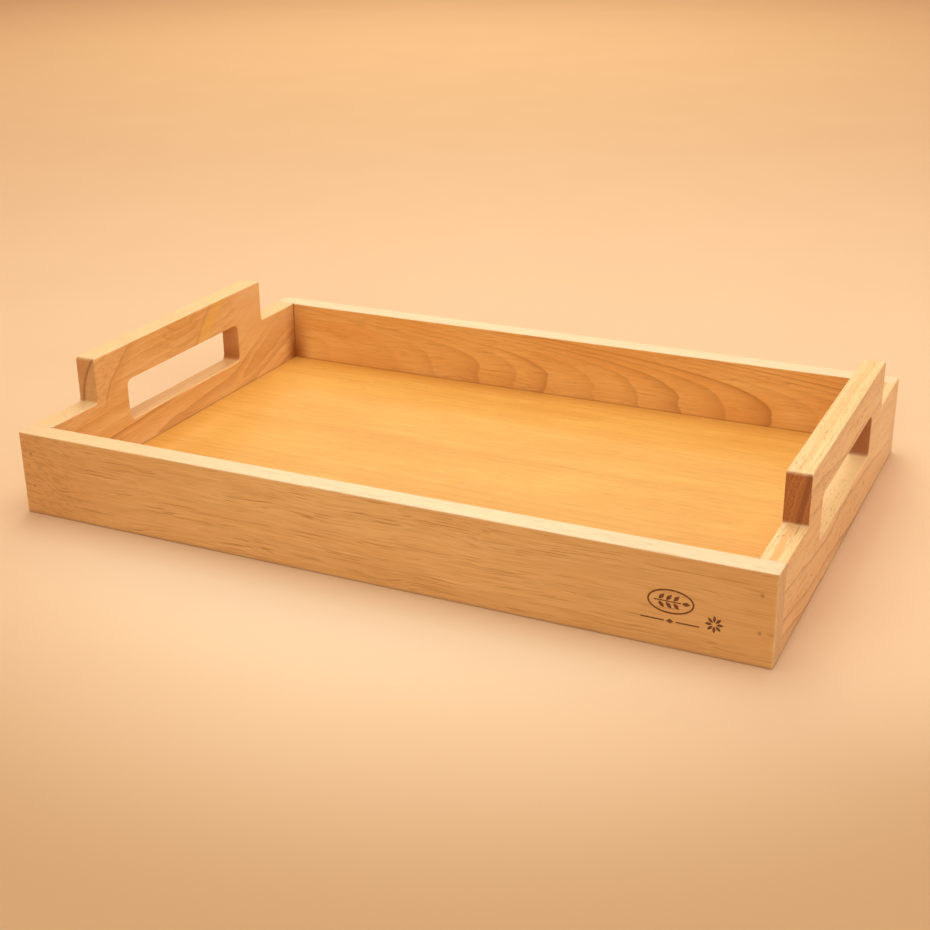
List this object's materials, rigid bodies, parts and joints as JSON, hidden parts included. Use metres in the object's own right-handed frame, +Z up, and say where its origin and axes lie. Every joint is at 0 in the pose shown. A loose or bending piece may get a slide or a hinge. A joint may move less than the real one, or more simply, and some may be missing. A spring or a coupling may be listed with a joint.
{
  "type": "serving tray",
  "caption": "Rectangular wooden serving tray with low butt-jointed sides, raised end handles pierced by hand slots, and a thin plywood bottom held in grooves.",
  "frame": {"origin": "centre of the underside, on the surface that the tray stands on", "axes": "+X along the tray's length from one handle to the other, +Y to the back rail, +Z up"},
  "size_m": [0.45, 0.3, 0.0795],
  "materials": {
    "board_wood": "clear satin lacquer over sanded pale hardwood",
    "bottom_veneer": "clear satin lacquer over golden veneer",
    "bottom_core_wood": "bare cross-laid core ply",
    "brad_steel": "bright drawn wire",
    "wood_filler": "sanded wood filler under lacquer"
  },
  "bodies": {
    "root": {"front_rail": "board_wood", "back_rail": "board_wood", "left_end_board": "board_wood", "right_end_board": "board_wood", "bottom_face_veneer": "bottom_veneer", "bottom_core": "bottom_core_wood", "bottom_back_veneer": "bottom_veneer", "front_brads": "brad_steel", "back_brads": "brad_steel", "front_brad_fillers": "wood_filler", "back_brad_fillers": "wood_filler"}
  },
  "joints": []
}
